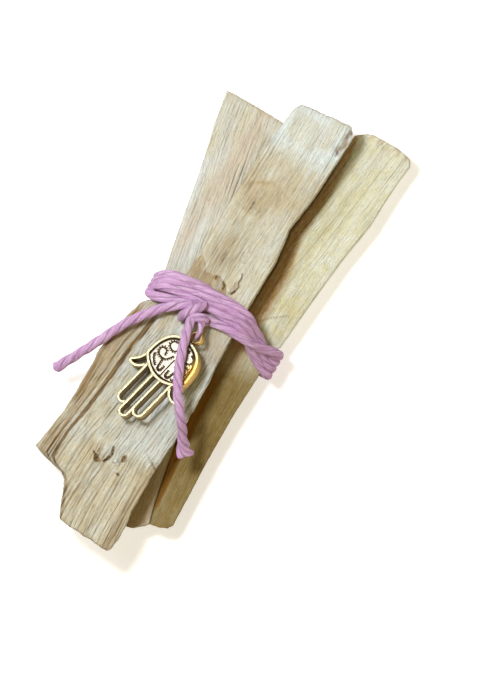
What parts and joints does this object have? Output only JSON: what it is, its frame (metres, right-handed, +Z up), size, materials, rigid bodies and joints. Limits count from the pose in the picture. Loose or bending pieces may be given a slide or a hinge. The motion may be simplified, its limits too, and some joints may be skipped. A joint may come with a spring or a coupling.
{
  "type": "palo santo stick bundle",
  "caption": "Bundle of rough split palo santo sticks lying flat, tied round the middle with soft cotton cord whose knot carries a small hand-shaped metal charm.",
  "frame": {"origin": "middle of the bundle's footprint on the surface it lies on, not counting the two free cord tails", "axes": "+Y along the sticks towards the ends opposite the charm, +X to the right of the picture across the sticks, +Z up through the face that carries the charm"},
  "size_m": [0.0467, 0.1087, 0.0294],
  "materials": {
    "left_wood": "raw split wood, pale cream with pinkish streaks",
    "right_wood": "raw split wood, smooth yellowish cream",
    "front_wood": "raw split wood, weathered grey-cream with long fine grain",
    "cord": "soft twisted cotton, lilac pink",
    "charm_metal": "antique pale gold, darkened in the recesses"
  },
  "bodies": {
    "root": {"left_stick": "left_wood", "right_stick": "right_wood", "front_stick": "front_wood", "cord_wraps": "cord", "cord_tail_left": "cord", "cord_tail_down": "cord", "hand_charm": "charm_metal"}
  },
  "joints": []
}
